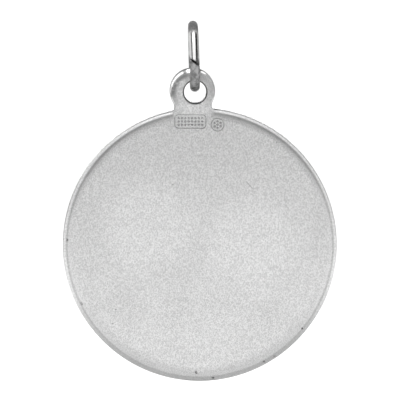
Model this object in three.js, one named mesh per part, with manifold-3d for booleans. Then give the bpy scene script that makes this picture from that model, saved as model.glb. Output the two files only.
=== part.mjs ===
// A religious medal pendant: a round silver medal with a pierced tab, hung on a soldered jump ring.
// Lengths are millimetres and +Z is up. The plain back faces -Y and the front with its relief faces +Y.
// The origin is where a chain bears, on the inside of the top of the jump ring.

import * as THREE from 'three';
import { mergeVertices } from 'three/addons/utils/BufferGeometryUtils.js';
import Module from 'manifold-3d';

// Jump ring
const WIRE_D = 0.95;
const RING_INNER_D = 5.1;
const SEAM_WIDTH = 0.16;
const SEAM_DEPTH = 0.18;
const SEAM_DROP = 0.34;
const SEAM_SLANT_DEG = 40;

// Disc
const DISC_D = 27.0;
const RIM_THICKNESS = 1.6;
const FIELD_THICKNESS = 1.15;
const PILLOW_WIDTH = 0.9;
const PILLOW_DROP = 0.16;
const BACK_ROUND_R = 0.28;
const BACK_ROUND_FROM_DEG = 30;
const FRONT_ROUND = 0.12;
const RIM_WIDTH = 0.8;
const RIM_SLOPE = 0.15;

// Tab with its hole
const TAB_THICKNESS = 1.5;
const EYE_R = 2.23;
const EYE_ABOVE_DISC = 1.745;
const EYE_OFFSET = -0.255;
const EYE_FILLET = 1.0;
const NECK_DRAW = 0.4;
const NECK_FILLET = 0.3;
const HOLE_D = 2.2;
const HOLE_BELOW_EYE = 0.1;
const HOLE_CHAMFER = 0.09;
const HOLE_WEAR = 0.07;
const TAB_BEVEL = 0.12;
const TAB_EASE = 0.32;
const TAB_EASE_BEARING_DEG = 112;
const TAB_EASE_SLOPE_DEG = 27;
const TAB_EDGE_ROUND = 0.05;
const SEAT_GAP = 0.05;

// Punch marks on the back
const PUNCH_DEPTH = 0.12;
const BAR_PUNCH = { x: -0.56, fromEdge: 1.24, width: 3.16, height: 1.43, corner: 0.4, tiltDeg: -2 };
const ROUND_PUNCH = { x: 2.1, fromEdge: 1.64, radius: 0.68 };

// Relief on the front
const LINE_FROM_RIM = 1.2;
const LINE_WIDTH = 0.34;
const LINE_HEIGHT = 0.13;
const CROSS_HEIGHT = 15.6;
const CROSS_SPAN = 10.6;
const CROSS_CENTRE_RISE = 1.9;
const ARM_WIDTH = 1.7;
const ARM_FLARE = 0.55;
const CROSS_RELIEF = 0.36;
const CROSS_DRAFT = 0.22;
const RAY_INNER_R = 2.3;
const RAY_LENGTH = 5.6;
const RAY_SHARES = [0.54, 0.79, 1, 0.79, 0.54];
const RAY_WIDTH = 0.62;
const RAY_HEIGHT = 0.2;

// Faceting
const DISC_SEGMENTS = 96;
const RING_SEGMENTS = 60;
const WIRE_SIDES = 14;
const HOLE_SIDES = 36;
const EYE_STEPS = 36;
const FILLET_STEPS = 6;
const EASE_STEPS = 4;

// Sizes that follow from the driving dimensions
const discR = DISC_D / 2;
const backY = -RIM_THICKNESS / 2;
const rimFrontY = RIM_THICKNESS / 2;
const fieldY = backY + FIELD_THICKNESS;
const tabFrontY = backY + TAB_THICKNESS;
const wireR = WIRE_D / 2;
const ringInnerR = RING_INNER_D / 2;
const ringMidR = ringInnerR + wireR;
const ringCentreZ = -ringInnerR;
const holeR = HOLE_D / 2;
const roundFrom = THREE.MathUtils.degToRad(BACK_ROUND_FROM_DEG);
const backEdgeR = discR - BACK_ROUND_R * (1 - Math.sin(roundFrom));
const flatR = backEdgeR - PILLOW_WIDTH;
const fieldR = discR - RIM_WIDTH - RIM_SLOPE;
const lineR = fieldR - LINE_FROM_RIM;
const eyeRise = discR + EYE_ABOVE_DISC;
const holeRise = eyeRise - HOLE_BELOW_EYE;
const tabReachY = Math.max(-backY, tabFrontY);
const seatZ = ringCentreZ - Math.sqrt(ringInnerR ** 2 - tabReachY ** 2);
const holeZ = seatZ + SEAT_GAP - holeR;
const discZ = holeZ - holeRise;

const wasm = await Module();
wasm.setup();

// Turns a closed three.js geometry into a solid that can be joined and cut
function solidOf(geometry) {
  const bare = geometry.clone();
  bare.deleteAttribute('normal');
  bare.deleteAttribute('uv');
  const merged = mergeVertices(bare, 1e-5);
  const corners = merged.index.array;
  const kept = [];
  for (let i = 0; i < corners.length; i += 3) {
    const [a, b, c] = [corners[i], corners[i + 1], corners[i + 2]];
    if (a !== b && b !== c && c !== a) kept.push(a, b, c);
  }
  return new wasm.Manifold(new wasm.Mesh({
    numProp: 3,
    vertProperties: new Float32Array(merged.attributes.position.array),
    triVerts: new Uint32Array(kept),
  }));
}

// Turns a solid back into a geometry for a mesh
function geometryOf(solid) {
  const mesh = solid.getMesh();
  const geometry = new THREE.BufferGeometry();
  geometry.setAttribute('position', new THREE.BufferAttribute(mesh.vertProperties, 3));
  geometry.setIndex(new THREE.BufferAttribute(mesh.triVerts, 1));
  geometry.computeVertexNormals();
  return geometry;
}

// Points on an arc from one angle to another, both in degrees, measured from +X towards +Z
function arc(cx, cz, radius, fromDeg, toDeg, steps) {
  return Array.from({ length: steps + 1 }, (_, i) => {
    const angle = THREE.MathUtils.degToRad(THREE.MathUtils.lerp(fromDeg, toDeg, i / steps));
    return new THREE.Vector2(cx + radius * Math.cos(angle), cz + radius * Math.sin(angle));
  });
}

// A closed skin over outlines of equal length. Each section is { y, outline }, from the back to the front,
// and its outline runs anticlockwise in X and Z as seen from the back.
function loft(sections) {
  const count = sections[0].outline.length;
  const positions = sections.flatMap(({ y, outline }) => outline.flatMap((p) => [p.x, y, p.y]));
  const faces = [];
  for (let s = 0; s + 1 < sections.length; s += 1) {
    for (let i = 0; i < count; i += 1) {
      const next = (i + 1) % count;
      const [a, b] = [s * count + i, s * count + next];
      const [c, d] = [a + count, b + count];
      faces.push(a, c, b, b, c, d);
    }
  }
  const lastStart = (sections.length - 1) * count;
  for (const [a, b, c] of THREE.ShapeUtils.triangulateShape(sections[0].outline, [])) {
    faces.push(a, b, c);
  }
  for (const [a, b, c] of THREE.ShapeUtils.triangulateShape(sections.at(-1).outline, [])) {
    faces.push(lastStart + a, lastStart + c, lastStart + b);
  }
  const geometry = new THREE.BufferGeometry();
  geometry.setAttribute('position', new THREE.Float32BufferAttribute(positions, 3));
  geometry.setIndex(faces);
  return geometry;
}

// The disc turned round its own axis. Its back eases over towards a rounded edge, and a raised rim and a
// fine raised line go round its sunk front.
function discBlank() {
  const profile = [new THREE.Vector2(0, backY)];
  for (let i = 0; i <= EASE_STEPS; i += 1) {
    const share = i / EASE_STEPS;
    profile.push(new THREE.Vector2(flatR + PILLOW_WIDTH * share, backY + PILLOW_DROP * share ** 2));
  }
  const sideY = backY + PILLOW_DROP + BACK_ROUND_R * Math.cos(roundFrom);
  for (let i = 1; i <= EASE_STEPS; i += 1) {
    const angle = THREE.MathUtils.lerp(roundFrom, Math.PI / 2, i / EASE_STEPS);
    const across = BACK_ROUND_R * (1 - Math.sin(angle));
    profile.push(new THREE.Vector2(discR - across, sideY - BACK_ROUND_R * Math.cos(angle)));
  }
  profile.push(new THREE.Vector2(discR, rimFrontY - FRONT_ROUND));
  profile.push(new THREE.Vector2(discR - FRONT_ROUND / 3, rimFrontY - FRONT_ROUND / 3));
  profile.push(new THREE.Vector2(discR - FRONT_ROUND, rimFrontY));
  profile.push(new THREE.Vector2(discR - RIM_WIDTH, rimFrontY));
  profile.push(new THREE.Vector2(fieldR, fieldY));
  profile.push(new THREE.Vector2(lineR + LINE_WIDTH / 2, fieldY));
  profile.push(new THREE.Vector2(lineR + LINE_WIDTH / 5, fieldY + LINE_HEIGHT));
  profile.push(new THREE.Vector2(lineR - LINE_WIDTH / 5, fieldY + LINE_HEIGHT));
  profile.push(new THREE.Vector2(lineR - LINE_WIDTH / 2, fieldY));
  profile.push(new THREE.Vector2(0, fieldY));
  return solidOf(new THREE.LatheGeometry(profile, DISC_SEGMENTS));
}

// The two fillets on one side of the neck: the lower one touches the disc's edge and the neck, and the upper
// one touches the neck and the eye and is no larger than the neck's length allows. The side is 1 or -1.
function neckFillets(eyeR, inset, side) {
  const halfNeck = eyeR - NECK_DRAW;
  const neckX = EYE_OFFSET + side * halfNeck;
  const lowR = NECK_FILLET + inset;
  const lowX = neckX + side * lowR;
  const lowRise = Math.sqrt((discR + lowR) ** 2 - lowX ** 2);
  const room = eyeRise - lowRise;
  const highR = Math.min(EYE_FILLET + inset, (room ** 2 / NECK_DRAW - eyeR - halfNeck) / 2);
  const highRise = eyeRise - Math.sqrt((eyeR + highR) ** 2 - (halfNeck + highR) ** 2);
  return {
    low: { x: lowX, rise: lowRise, radius: lowR },
    high: { x: neckX + side * highR, rise: highRise, radius: highR },
  };
}

// The tab's outline round the disc's centre, drawn in by an inset, and by an ease round its upper left.
// It runs anticlockwise as seen from the back: up the right side, over the eye and down the left side.
function tabOutline(inset, ease) {
  const eyeR = EYE_R - inset;
  const right = neckFillets(eyeR, inset, 1);
  const left = neckFillets(eyeR, inset, -1);
  const bearing = (from, x, rise) => THREE.MathUtils.radToDeg(Math.atan2(rise - from.rise, x - from.x));
  const turn = (fillet, fromDeg, toDeg) => arc(fillet.x, fillet.rise, fillet.radius, fromDeg, toDeg, FILLET_STEPS);
  const rightEye = bearing(right.high, EYE_OFFSET, eyeRise);
  const leftEye = bearing(left.high, EYE_OFFSET, eyeRise);
  const rootRise = flatR - EYE_R / 2;
  const outline = [
    new THREE.Vector2(EYE_OFFSET - EYE_R / 2, rootRise),
    new THREE.Vector2(EYE_OFFSET + EYE_R / 2, rootRise),
    ...turn(right.low, bearing(right.low, 0, 0), -180),
    ...turn(right.high, 180, rightEye),
    ...arc(EYE_OFFSET, eyeRise, eyeR, rightEye - 180, leftEye + 180, EYE_STEPS).slice(1, -1),
    ...turn(left.high, leftEye, 0),
    ...turn(left.low, 0, bearing(left.low, 0, 0)),
  ];
  const easeDeg = THREE.MathUtils.degToRad(TAB_EASE_BEARING_DEG);
  const toward = new THREE.Vector2(Math.cos(easeDeg), Math.sin(easeDeg));
  const eye = new THREE.Vector2(EYE_OFFSET, eyeRise);
  const share = (p) => Math.max(0, p.clone().sub(eye).dot(toward) / eyeR);
  return outline.map((p) => p.clone().addScaledVector(toward, -ease * share(p)));
}

// The tab: a flat lug with a chamfer on the back, which is widest round its upper left.
// Behind the disc's field its root is thin, so that it stays inside the disc.
function tabBlank() {
  const slope = Math.tan(THREE.MathUtils.degToRad(TAB_EASE_SLOPE_DEG));
  const chamfer = (TAB_BEVEL + TAB_EASE - TAB_EDGE_ROUND) * slope;
  const sections = [
    { y: backY, outline: tabOutline(TAB_BEVEL, TAB_EASE) },
    { y: backY + chamfer, outline: tabOutline(TAB_EDGE_ROUND, 0) },
    { y: backY + chamfer + TAB_EDGE_ROUND, outline: tabOutline(0, 0) },
    { y: tabFrontY - TAB_BEVEL, outline: tabOutline(0, 0) },
    { y: tabFrontY, outline: tabOutline(TAB_BEVEL, 0) },
  ];
  const cutDepth = RIM_THICKNESS;
  const insideRim = new THREE.CylinderGeometry(discR - RIM_WIDTH / 2, discR - RIM_WIDTH / 2, cutDepth, DISC_SEGMENTS);
  insideRim.translate(0, backY + FIELD_THICKNESS / 2 + cutDepth / 2, 0);
  return solidOf(loft(sections)).subtract(solidOf(insideRim));
}

// The hole's cutter, which flares at both faces, and more on the back where it has worn
function holeCutter() {
  const over = 1;
  const drill = new THREE.LatheGeometry([
    new THREE.Vector2(0, backY - over),
    new THREE.Vector2(holeR + HOLE_CHAMFER + over, backY - over),
    new THREE.Vector2(holeR, backY + HOLE_CHAMFER),
    new THREE.Vector2(holeR, tabFrontY - HOLE_CHAMFER),
    new THREE.Vector2(holeR + HOLE_CHAMFER + over, tabFrontY + over),
    new THREE.Vector2(0, tabFrontY + over),
  ], HOLE_SIDES);
  const worn = new THREE.LatheGeometry([
    new THREE.Vector2(0, backY - over),
    new THREE.Vector2(holeR + HOLE_WEAR + over, backY - over),
    new THREE.Vector2(holeR, backY + HOLE_WEAR),
    new THREE.Vector2(0, backY + HOLE_WEAR),
  ], HOLE_SIDES);
  const shift = HOLE_WEAR * Math.SQRT1_2;
  worn.translate(-shift, 0, -shift);
  return solidOf(drill).add(solidOf(worn)).translate([0, 0, holeRise]);
}

// A shallow sunk panel on the back, cut by a short prism that starts clear of the surface
function sunkPanel(outline, x, fromEdge, tiltDeg) {
  const cutter = solidOf(loft([
    { y: backY - PUNCH_DEPTH, outline },
    { y: backY + PUNCH_DEPTH, outline },
  ]));
  return cutter.rotate([0, -tiltDeg, 0]).translate([x, 0, discR - fromEdge]);
}

// The two punch marks
function punchMarks() {
  const { width, height, corner } = BAR_PUNCH;
  const [hx, hz] = [width / 2 - corner, height / 2 - corner];
  const bar = [
    ...arc(hx, -hz, corner, -90, 0, FILLET_STEPS),
    ...arc(hx, hz, corner, 0, 90, FILLET_STEPS),
    ...arc(-hx, hz, corner, 90, 180, FILLET_STEPS),
    ...arc(-hx, -hz, corner, 180, 270, FILLET_STEPS),
  ];
  const round = arc(0, 0, ROUND_PUNCH.radius, 0, 360, 4 * FILLET_STEPS).slice(0, -1);
  return sunkPanel(bar, BAR_PUNCH.x, BAR_PUNCH.fromEdge, BAR_PUNCH.tiltDeg)
    .add(sunkPanel(round, ROUND_PUNCH.x, ROUND_PUNCH.fromEdge, 0));
}

// The outline of a Latin cross with arms that flare slightly, drawn in by an inset
function crossOutline(inset) {
  const half = ARM_WIDTH / 2 - inset;
  const flared = half + ARM_FLARE;
  const side = CROSS_SPAN / 2 - inset;
  const top = CROSS_CENTRE_RISE + CROSS_SPAN / 2 - inset;
  const foot = CROSS_CENTRE_RISE + CROSS_SPAN / 2 - CROSS_HEIGHT + inset;
  const c = CROSS_CENTRE_RISE;
  return [
    [-flared, foot], [flared, foot], [half, c - half], [side, c - flared],
    [side, c + flared], [half, c + half], [flared, top], [-flared, top],
    [-half, c + half], [-side, c + flared], [-side, c - flared], [-half, c - half],
  ].map(([x, z]) => new THREE.Vector2(x, z));
}

// The cross stands on the sunk field and reaches a little into it
function cross() {
  const root = FIELD_THICKNESS / 4;
  return solidOf(loft([
    { y: fieldY - root, outline: crossOutline(0) },
    { y: fieldY, outline: crossOutline(0) },
    { y: fieldY + CROSS_RELIEF, outline: crossOutline(CROSS_DRAFT) },
  ]));
}

// One ray: a ridge with a point at its outer end, along +Z before it is turned
function ray(length) {
  const root = FIELD_THICKNESS / 4;
  const outline = (width, tip) => [
    new THREE.Vector2(-width / 2, 0), new THREE.Vector2(width / 2, 0), new THREE.Vector2(0, tip),
  ];
  return solidOf(loft([
    { y: fieldY - root, outline: outline(RAY_WIDTH, length) },
    { y: fieldY, outline: outline(RAY_WIDTH, length) },
    { y: fieldY + RAY_HEIGHT, outline: outline(RAY_WIDTH / 8, length * 0.9) },
  ]));
}

// Rays that fill the four quarters between the arms, longest in the middle of each quarter
function glory() {
  const rays = [];
  for (let quarter = 0; quarter < 4; quarter += 1) {
    for (const [i, share] of RAY_SHARES.entries()) {
      const turn = 90 * (quarter + (i + 1) / (RAY_SHARES.length + 1));
      rays.push(ray(RAY_LENGTH * share).translate([0, 0, RAY_INNER_R]).rotate([0, turn, 0]));
    }
  }
  return wasm.Manifold.union(rays).translate([0, 0, CROSS_CENTRE_RISE]);
}

// The whole medal is one struck piece
function medalDisc() {
  const struck = discBlank().add(tabBlank()).add(cross()).add(glory());
  return geometryOf(struck.subtract(holeCutter()).subtract(punchMarks()));
}

// The jump ring stands edge-on to the back's viewer, with a shallow slanted groove where its ends were soldered
function jumpRing() {
  const torus = new THREE.TorusGeometry(ringMidR, wireR, WIRE_SIDES, RING_SEGMENTS);
  torus.rotateY(Math.PI / 2);
  const slab = new THREE.BoxGeometry(2 * WIRE_D, 2 * WIRE_D, SEAM_WIDTH);
  const core = new THREE.CylinderGeometry(wireR - SEAM_DEPTH, wireR - SEAM_DEPTH, 4 * WIRE_D, WIRE_SIDES);
  core.rotateX(Math.PI / 2);
  const groove = solidOf(slab).rotate([0, SEAM_SLANT_DEG, 0]).subtract(solidOf(core));
  const bearing = Math.asin(SEAM_DROP / ringMidR);
  const placed = groove.translate([0, -ringMidR, 0]).rotate([THREE.MathUtils.radToDeg(bearing), 0, 0]);
  return geometryOf(solidOf(torus).subtract(placed));
}

const sterlingSatin = new THREE.MeshStandardMaterial({ color: 0xcdcdcd, roughness: 0.45, metalness: 1 });
const sterlingBright = new THREE.MeshStandardMaterial({ color: 0xdadada, roughness: 0.12, metalness: 1 });

const pendant = new THREE.Group();

const medal = new THREE.Mesh(medalDisc(), sterlingSatin);
medal.name = 'medal_disc';
medal.position.set(0, 0, discZ);
pendant.add(medal);

const ring = new THREE.Mesh(jumpRing(), sterlingBright);
ring.name = 'jump_ring';
ring.position.set(0, 0, ringCentreZ);
pendant.add(ring);

export default pendant;
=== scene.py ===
# %% [markdown]
# # A silver medal on its jump ring
# The photograph shows the plain back of a round sterling silver medal. It hangs by a pierced tab from a small
# jump ring, which is seen edge-on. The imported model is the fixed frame: it says where each piece is and how
# large. Everything below models the same two pieces more finely, in the same place, and gives them their
# metal. The front, which the photograph doesn't show, has a plain raised rim, a fine line, a low cross and
# short rays.

# %% Load the frame
import math
from types import SimpleNamespace

import bmesh
import bpy
from mathutils import Matrix, Vector


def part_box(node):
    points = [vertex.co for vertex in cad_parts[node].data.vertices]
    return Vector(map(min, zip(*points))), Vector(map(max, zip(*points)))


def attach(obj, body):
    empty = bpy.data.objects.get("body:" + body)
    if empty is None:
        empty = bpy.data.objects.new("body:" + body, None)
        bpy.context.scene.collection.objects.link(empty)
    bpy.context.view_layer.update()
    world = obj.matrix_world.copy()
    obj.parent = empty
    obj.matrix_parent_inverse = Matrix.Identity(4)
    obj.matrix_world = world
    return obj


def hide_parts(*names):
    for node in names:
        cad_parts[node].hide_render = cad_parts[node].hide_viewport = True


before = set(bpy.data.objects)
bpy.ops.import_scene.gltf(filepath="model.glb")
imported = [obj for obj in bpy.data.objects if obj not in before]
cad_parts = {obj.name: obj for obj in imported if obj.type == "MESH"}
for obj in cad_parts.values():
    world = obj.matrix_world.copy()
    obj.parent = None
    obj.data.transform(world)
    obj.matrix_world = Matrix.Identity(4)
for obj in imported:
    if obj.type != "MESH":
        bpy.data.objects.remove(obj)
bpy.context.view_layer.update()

# %% [markdown]
# ## Sizes
# The large sizes are read from the frame, so the fine pieces fit it exactly. The small ones, such as a
# fillet or a chamfer, can't be read from a box, so they are named here as the maker would name them.
# Modelling is done in millimetres round the middle of each piece, because a jeweller's sizes are easier to
# read that way, and each finished piece is brought to metres and to its place at the end.

# %% Sizes read from the frame
MM = 0.001
medal_low, medal_high = (Vector(corner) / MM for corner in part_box("medal_disc"))
ring_low, ring_high = (Vector(corner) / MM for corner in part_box("jump_ring"))

disc_r = (medal_high.x - medal_low.x) / 2
disc_z = medal_low.z + disc_r
back_y = medal_low.y
rim_front_y = medal_high.y
ring_outer_r = (ring_high.z - ring_low.z) / 2
ring_z = ring_low.z + ring_outer_r
print(f"disc {2 * disc_r:.2f} mm across at z {disc_z:.2f}")
print(f"ring {2 * ring_outer_r:.2f} mm across at z {ring_z:.2f}")

# %% Sizes of the disc, tab and ring in millimetres
WIRE_D = 0.95
FIELD_THICKNESS = 1.15
PILLOW_WIDTH = 0.9
PILLOW_DROP = 0.16
BACK_ROUND_R = 0.28
BACK_ROUND_FROM = math.radians(30)
FRONT_ROUND = 0.12
RIM_WIDTH = 0.8
RIM_SLOPE = 0.15
TAB_THICKNESS = 1.5
EYE_R = 2.23
EYE_ABOVE_DISC = 1.745
EYE_OFFSET = -0.255
EYE_FILLET = 1.0
NECK_DRAW = 0.4
NECK_FILLET = 0.3
TAB_BEVEL = 0.12
TAB_EASE = 0.32
TAB_EASE_BEARING = math.radians(112)
TAB_EASE_SLOPE = math.radians(27)
TAB_EDGE_ROUND = 0.05
HOLE_D = 2.2
HOLE_BELOW_EYE = 0.1
HOLE_CHAMFER = 0.09
HOLE_WEAR = 0.07

field_y = back_y + FIELD_THICKNESS
tab_front_y = back_y + TAB_THICKNESS
back_edge_r = disc_r - BACK_ROUND_R * (1 - math.sin(BACK_ROUND_FROM))
flat_r = back_edge_r - PILLOW_WIDTH
field_r = disc_r - RIM_WIDTH - RIM_SLOPE
eye_rise = disc_r + EYE_ABOVE_DISC
hole_rise = eye_rise - HOLE_BELOW_EYE
hole_r = HOLE_D / 2
ring_mid_r = ring_outer_r - WIRE_D / 2
print(f"sunk field {field_r:.2f} mm in radius, hole {HOLE_D} mm at {hole_rise:.2f} mm over the disc's middle")

# %% [markdown]
# ## The camera
# The photograph is taken with a long lens, from a little above, because a thin strip of the disc's side shows
# along its top and none along its foot. The ring is seen edge-on, so the camera stands almost straight behind
# the medal. The medal leans by less than two degrees, which is the camera's roll here. The frame is 400
# pixels square and the disc spans 274 of them.

# %% Camera
IMAGE_PX = 400
DISC_SPAN_PX = 273.7
DISC_CENTRE_PX = (199.8, 244.6)
CAMERA_AZIMUTH = math.radians(-1.3)
CAMERA_ELEVATION = math.radians(5.5)
CAMERA_ROLL = math.radians(-1.8)
CAMERA_DISTANCE = 480 * MM

frame_width = 2 * disc_r * MM * IMAGE_PX / DISC_SPAN_PX
rise_to_middle = (DISC_CENTRE_PX[1] - IMAGE_PX / 2) * frame_width / IMAGE_PX
shift_to_middle = (IMAGE_PX / 2 - DISC_CENTRE_PX[0]) * frame_width / IMAGE_PX
toward_camera = Vector((
    math.sin(CAMERA_AZIMUTH) * math.cos(CAMERA_ELEVATION),
    -math.cos(CAMERA_AZIMUTH) * math.cos(CAMERA_ELEVATION),
    math.sin(CAMERA_ELEVATION),
))
level_turn = (-toward_camera).to_track_quat("-Z", "Y")
camera_turn = level_turn @ Matrix.Rotation(CAMERA_ROLL, 3, "Z").to_quaternion()
aim = Vector((0, 0, disc_z * MM)) + camera_turn @ Vector((shift_to_middle, rise_to_middle, 0))

camera_data = bpy.data.cameras.new("camera")
camera_data.sensor_width = 36
camera_data.lens = camera_data.sensor_width * CAMERA_DISTANCE / frame_width
camera_data.clip_start = 0.01
camera = bpy.data.objects.new("camera", camera_data)
camera.rotation_euler = camera_turn.to_euler()
camera.location = aim + toward_camera * CAMERA_DISTANCE
bpy.context.scene.collection.objects.link(camera)
bpy.context.scene.camera = camera
print(f"lens {camera_data.lens:.0f} mm at {CAMERA_DISTANCE:.2f} m")

# %% [markdown]
# ## Tools for making solids
# A few small helpers carry the modelling. `arc` gives points on a round stretch. `stacked` bridges outlines
# that lie one behind the other into one closed solid, which suits flat lugs, crosses and punches, and `spun`
# turns a profile like a lathe. `carved` joins or cuts solids with the exact boolean, because the real medal
# is struck as one piece and has no gaps between its parts. `placed` brings a finished piece from millimetres
# round its own middle to metres in the frame, and leaves its object at the origin.

# %% Points on an arc, in the X and Z plane
def arc(x, z, radius, start, stop, steps):
    return [
        (x + radius * math.cos(angle), z + radius * math.sin(angle))
        for angle in (start + (stop - start) * i / steps for i in range(steps + 1))
    ]


# %% A mesh object from a bmesh
SAME_POINT = 1e-5


def object_from(bm, name):
    bmesh.ops.remove_doubles(bm, verts=bm.verts, dist=SAME_POINT)
    bmesh.ops.recalc_face_normals(bm, faces=bm.faces)
    mesh = bpy.data.meshes.new(name)
    bm.to_mesh(mesh)
    bm.free()
    piece = bpy.data.objects.new(name, mesh)
    bpy.context.scene.collection.objects.link(piece)
    return piece


# %% A closed solid through outlines that lie one behind the other
def stacked(sections, name):
    bm = bmesh.new()
    loops = []
    for y, outline in sections:
        verts = [bm.verts.new((x, y, z)) for x, z in outline]
        loops.append([bm.edges.new((a, b)) for a, b in zip(verts, verts[1:] + verts[:1])])
        if y in (sections[0][0], sections[-1][0]):
            bm.faces.new(verts)
    for near, far in zip(loops, loops[1:]):
        bmesh.ops.bridge_loops(bm, edges=near + far)
    return object_from(bm, name)


# %% A solid spun round the Y axis from a profile of radius and depth
def spun(profile, steps, name):
    bm = bmesh.new()
    verts = [bm.verts.new((radius, y, 0)) for radius, y in profile]
    edges = [bm.edges.new(pair) for pair in zip(verts, verts[1:])]
    bmesh.ops.spin(
        bm, geom=verts + edges, cent=(0, 0, 0), axis=(0, 1, 0), angle=math.tau, steps=steps,
        use_merge=True,
    )
    return object_from(bm, name)


# %% Joining and cutting
def carved(piece, tools, operation):
    for tool in tools:
        cut = piece.modifiers.new("carve", "BOOLEAN")
        cut.operation = operation
        cut.solver = "EXACT"
        cut.object = tool
    bpy.context.view_layer.update()
    result = bpy.data.meshes.new_from_object(piece.evaluated_get(bpy.context.evaluated_depsgraph_get()))
    piece.modifiers.clear()
    old = piece.data
    piece.data = result
    bpy.data.meshes.remove(old)
    for tool in tools:
        bpy.data.objects.remove(tool)
    return piece


# %% One object from several
def merged(pieces, name):
    bm = bmesh.new()
    for piece in pieces:
        bm.from_mesh(piece.data)
        bpy.data.objects.remove(piece)
    mesh = bpy.data.meshes.new(name)
    bm.to_mesh(mesh)
    bm.free()
    whole = bpy.data.objects.new(name, mesh)
    bpy.context.scene.collection.objects.link(whole)
    return whole


# %% From millimetres round the piece's own middle to metres in the frame
def placed(piece, middle_z):
    piece.data.transform(Matrix.Scale(MM, 4) @ Matrix.Translation((0, 0, middle_z)))
    piece.data.update()
    print(piece.name, len(piece.data.polygons), "faces")
    return piece


# %% Turned and moved inside the medal's own plane
def set_at(piece, x, z, turn=0.0, y=0.0):
    piece.data.transform(Matrix.Translation((x, y, z)) @ Matrix.Rotation(turn, 4, "Y"))
    return piece


# %% [markdown]
# ## The disc
# The real disc is struck between dies and then blasted on its back, which leaves it flat, with its edge
# eased over like a pillow for the last millimetre before a small round. A disc is a turned form, so one
# profile spun round its axis gives it all. The profile runs from the middle of the back, over the edge and
# the raised rim, and back to the middle of the sunk front.

# %% Disc blank
DISC_STEPS = 288
PILLOW_STEPS = 10
ROUND_STEPS = 8
SOFT_EDGE = 0.05
SOFT_STEPS = 3
SOFT_END = math.pi * 0.9
LINE_FROM_RIM = 1.2
LINE_WIDTH = 0.34
LINE_HEIGHT = 0.13


def back_profile():
    """From the middle of the back, over the pillow and the back edge, to the disc's side."""
    pillow = [i / PILLOW_STEPS for i in range(PILLOW_STEPS + 1)]
    side_y = back_y + PILLOW_DROP + BACK_ROUND_R * math.cos(BACK_ROUND_FROM)
    profile = [(0, back_y)]
    profile += [(flat_r + PILLOW_WIDTH * way, back_y + PILLOW_DROP * way ** 2) for way in pillow]
    profile += arc(
        disc_r - BACK_ROUND_R, side_y, BACK_ROUND_R, BACK_ROUND_FROM - math.pi / 2, 0, ROUND_STEPS
    )[1:]
    return profile


def front_profile():
    """From the disc's side, over the rim and the fine line, to the middle of the sunk front."""
    profile = arc(
        disc_r - FRONT_ROUND, rim_front_y - FRONT_ROUND, FRONT_ROUND, 0, math.pi / 2, ROUND_STEPS
    )
    profile += arc(
        field_r + RIM_SLOPE + SOFT_EDGE, rim_front_y - SOFT_EDGE, SOFT_EDGE, math.pi / 2, SOFT_END, SOFT_STEPS
    )
    profile.append((field_r, field_y))
    line_r = field_r - LINE_FROM_RIM
    for i in range(ROUND_STEPS + 1):
        way = i / ROUND_STEPS
        profile.append((line_r + LINE_WIDTH * (0.5 - way), field_y + LINE_HEIGHT * math.sin(math.pi * way)))
    profile.append((0, field_y))
    return profile


disc = spun(back_profile() + front_profile(), DISC_STEPS, "disc_blank")
print("disc blank", len(disc.data.polygons), "faces")

# %% [markdown]
# ## The tab
# The tab grows out of the disc's top edge and is flush with its back. Its outline is an eye drawn in to a
# short neck, with a fillet to the eye and a smaller one to the disc. The same outline, drawn in a little at
# the faces, softens its edges. On the back someone has filed the edge down to a flat slope, widest at the
# upper left, and this chamfer is the bright crescent in the photograph. Its outline is the tab's own, with
# each point drawn in by as much as it lies towards the upper left.

# %% Tab outline
EYE_STEPS = 72
FILLET_STEPS = 10


def neck_fillets(eye_r, inset, side):
    half_neck = eye_r - NECK_DRAW
    neck_x = EYE_OFFSET + side * half_neck
    low_r = NECK_FILLET + inset
    low_x = neck_x + side * low_r
    low_z = math.sqrt((disc_r + low_r) ** 2 - low_x ** 2)
    room = eye_rise - low_z
    high_r = min(EYE_FILLET + inset, (room ** 2 / NECK_DRAW - eye_r - half_neck) / 2)
    high_z = eye_rise - math.sqrt((eye_r + high_r) ** 2 - (half_neck + high_r) ** 2)
    return (low_x, low_z, low_r), (neck_x + side * high_r, high_z, high_r)


def tab_outline(inset, ease):
    eye_r = EYE_R - inset
    low_right, high_right = neck_fillets(eye_r, inset, 1)
    low_left, high_left = neck_fillets(eye_r, inset, -1)
    right_eye = math.atan2(eye_rise - high_right[1], EYE_OFFSET - high_right[0])
    left_eye = math.atan2(eye_rise - high_left[1], EYE_OFFSET - high_left[0])
    right_disc = math.atan2(-low_right[1], -low_right[0])
    left_disc = math.atan2(-low_left[1], -low_left[0])
    root_z = flat_r - EYE_R / 2
    outline = [(EYE_OFFSET - EYE_R / 2, root_z), (EYE_OFFSET + EYE_R / 2, root_z)]
    outline += arc(*low_right, right_disc, -math.pi, FILLET_STEPS)
    outline += arc(*high_right, math.pi, right_eye, FILLET_STEPS)
    outline += arc(EYE_OFFSET, eye_rise, eye_r, right_eye - math.pi, left_eye + math.pi, EYE_STEPS)[1:-1]
    outline += arc(*high_left, left_eye, 0, FILLET_STEPS)
    outline += arc(*low_left, 0, left_disc, FILLET_STEPS)
    ease_x, ease_z = math.cos(TAB_EASE_BEARING), math.sin(TAB_EASE_BEARING)
    eased = []
    for x, z in outline:
        drawn = ease * max(0, ((x - EYE_OFFSET) * ease_x + (z - eye_rise) * ease_z) / eye_r)
        eased.append((x - drawn * ease_x, z - drawn * ease_z))
    return eased


# %% Tab blank
OVER = 1.0


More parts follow.
